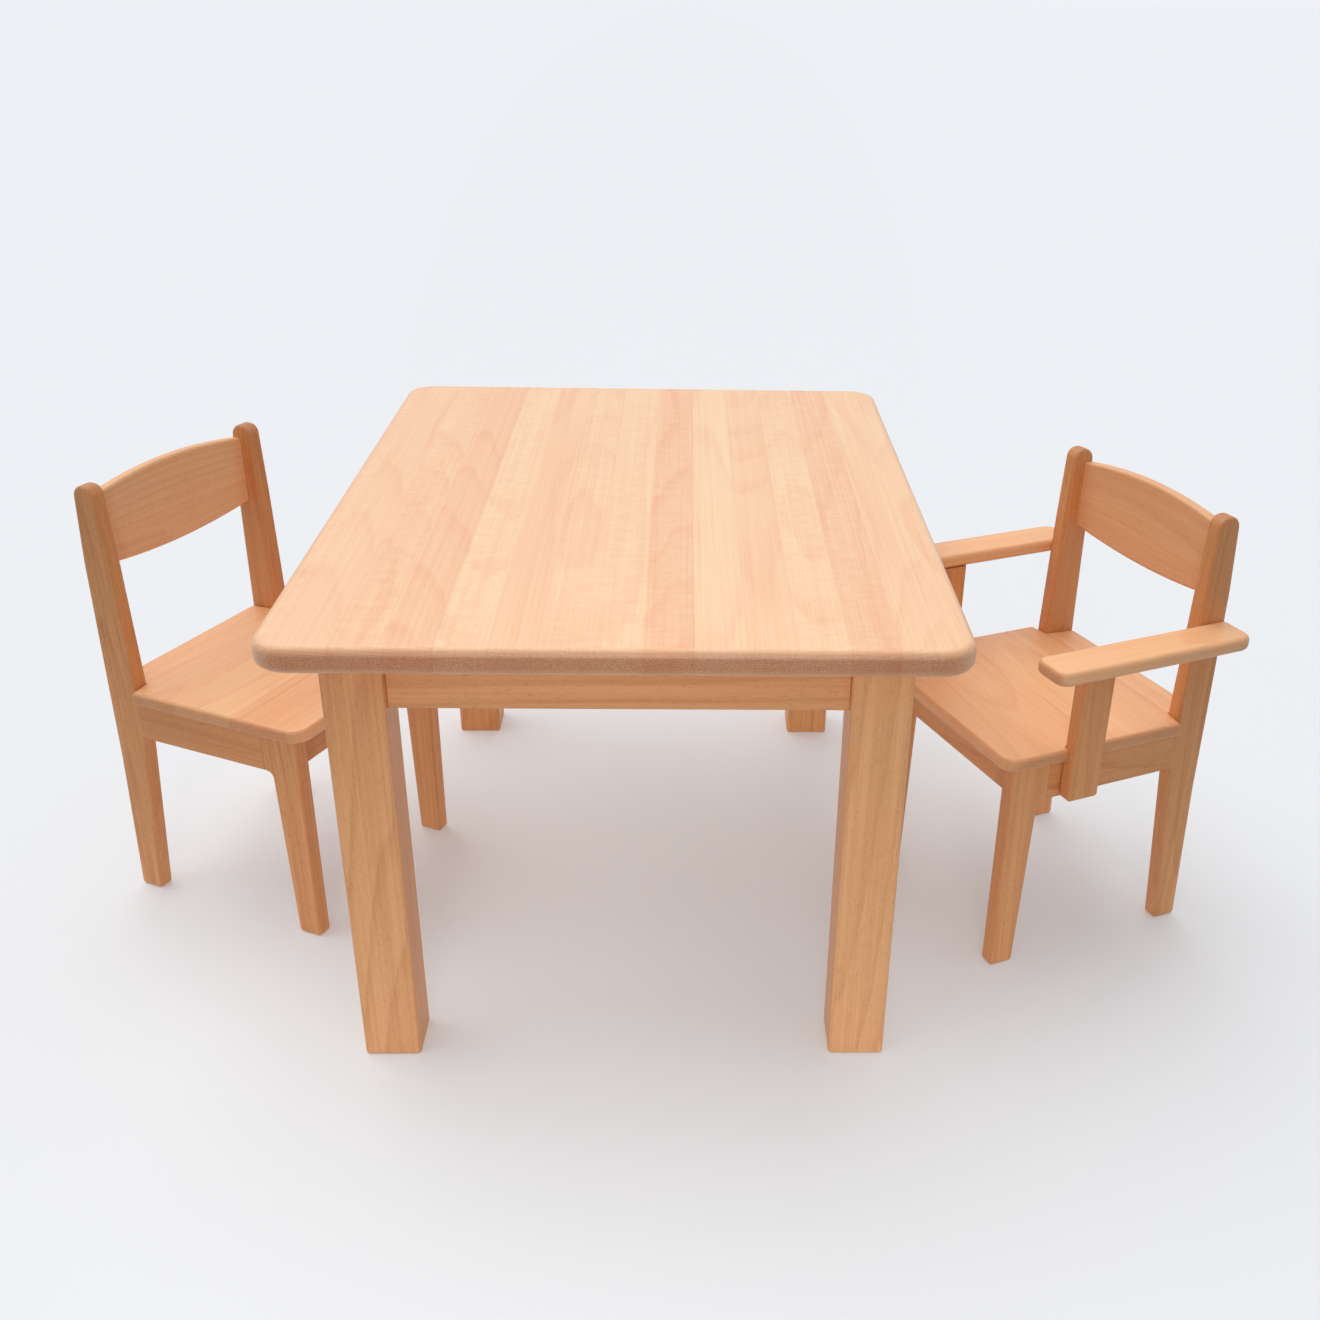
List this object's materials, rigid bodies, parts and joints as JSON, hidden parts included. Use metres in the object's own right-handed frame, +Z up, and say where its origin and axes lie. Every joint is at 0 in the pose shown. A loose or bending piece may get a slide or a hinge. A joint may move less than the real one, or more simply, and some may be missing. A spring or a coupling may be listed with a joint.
{
  "type": "kids table and chairs",
  "caption": "Children's beech table with rounded top and square legs, with a plain low chair and a matching low armchair that slide in under it.",
  "frame": {"origin": "on the floor, under the middle of the whole set's box; the table stands almost centred over it", "axes": "+Z up, +Y from the table's front edge to its back edge, +X from the plain chair's side towards the armchair's side"},
  "size_m": [1.187, 0.8, 0.4815],
  "materials": {
    "beech_table_top": "satin oiled glued-up beech staves, pale peach",
    "beech_chair_panel": "satin oiled beech boards of the seats, slats and armrests",
    "beech_frame": "satin oiled solid beech of the legs, aprons and rails",
    "beech_dowel": "raw beech dowel",
    "zinc_steel": "zinc-plated steel screws and bolts"
  },
  "bodies": {
    "table": {"apron_front": "beech_frame", "top_button_front": "beech_frame", "top_screw_front": "zinc_steel", "apron_back": "beech_frame", "top_button_back": "beech_frame", "top_screw_back": "zinc_steel", "apron_left": "beech_frame", "top_button_left": "beech_frame", "top_screw_left": "zinc_steel", "apron_right": "beech_frame", "top_button_right": "beech_frame", "top_screw_right": "zinc_steel", "table_top": "beech_table_top", "table_leg_front_left": "beech_frame", "corner_block_front_left": "beech_frame", "leg_bolt_front_left": "zinc_steel", "table_leg_front_right": "beech_frame", "corner_block_front_right": "beech_frame", "leg_bolt_front_right": "zinc_steel", "table_leg_back_left": "beech_frame", "corner_block_back_left": "beech_frame", "leg_bolt_back_left": "zinc_steel", "table_leg_back_right": "beech_frame", "corner_block_back_right": "beech_frame", "leg_bolt_back_right": "zinc_steel"},
    "plain_chair": {"plain_chair_seat": "beech_chair_panel", "plain_chair_back_slat": "beech_chair_panel", "plain_chair_front_rail": "beech_frame", "plain_chair_back_rail": "beech_frame", "plain_chair_front_leg_left": "beech_frame", "plain_chair_back_leg_left": "beech_frame", "plain_chair_side_rail_left": "beech_frame", "plain_chair_front_leg_right": "beech_frame", "plain_chair_back_leg_right": "beech_frame", "plain_chair_side_rail_right": "beech_frame"},
    "armchair": {"armchair_seat": "beech_chair_panel", "armchair_back_slat": "beech_chair_panel", "armchair_front_rail": "beech_frame", "armchair_back_rail": "beech_frame", "armchair_front_leg_left": "beech_frame", "armchair_back_leg_left": "beech_frame", "armchair_side_rail_left": "beech_frame", "armchair_front_leg_right": "beech_frame", "armchair_back_leg_right": "beech_frame", "armchair_side_rail_right": "beech_frame", "armchair_armrest_left": "beech_chair_panel", "armchair_arm_post_left": "beech_frame", "armchair_arm_screw_left": "zinc_steel", "armchair_post_dowel_left": "beech_dowel", "armchair_post_screw_left_lower": "zinc_steel", "armchair_post_screw_left_upper": "zinc_steel", "armchair_armrest_right": "beech_chair_panel", "armchair_arm_post_right": "beech_frame", "armchair_arm_screw_right": "zinc_steel", "armchair_post_dowel_right": "beech_dowel", "armchair_post_screw_right_lower": "zinc_steel", "armchair_post_screw_right_upper": "zinc_steel"}
  },
  "joints": [
    {"name": "plain_chair_slide", "type": "slide", "parent": "table", "child": "plain_chair", "axis": [0.91, -0.4147, 0], "range_m": [-0.3, 0.12]},
    {"name": "armchair_slide", "type": "slide", "parent": "table", "child": "armchair", "axis": [-0.9205, -0.3907, 0], "range_m": [-0.3, 0.12]}
  ]
}
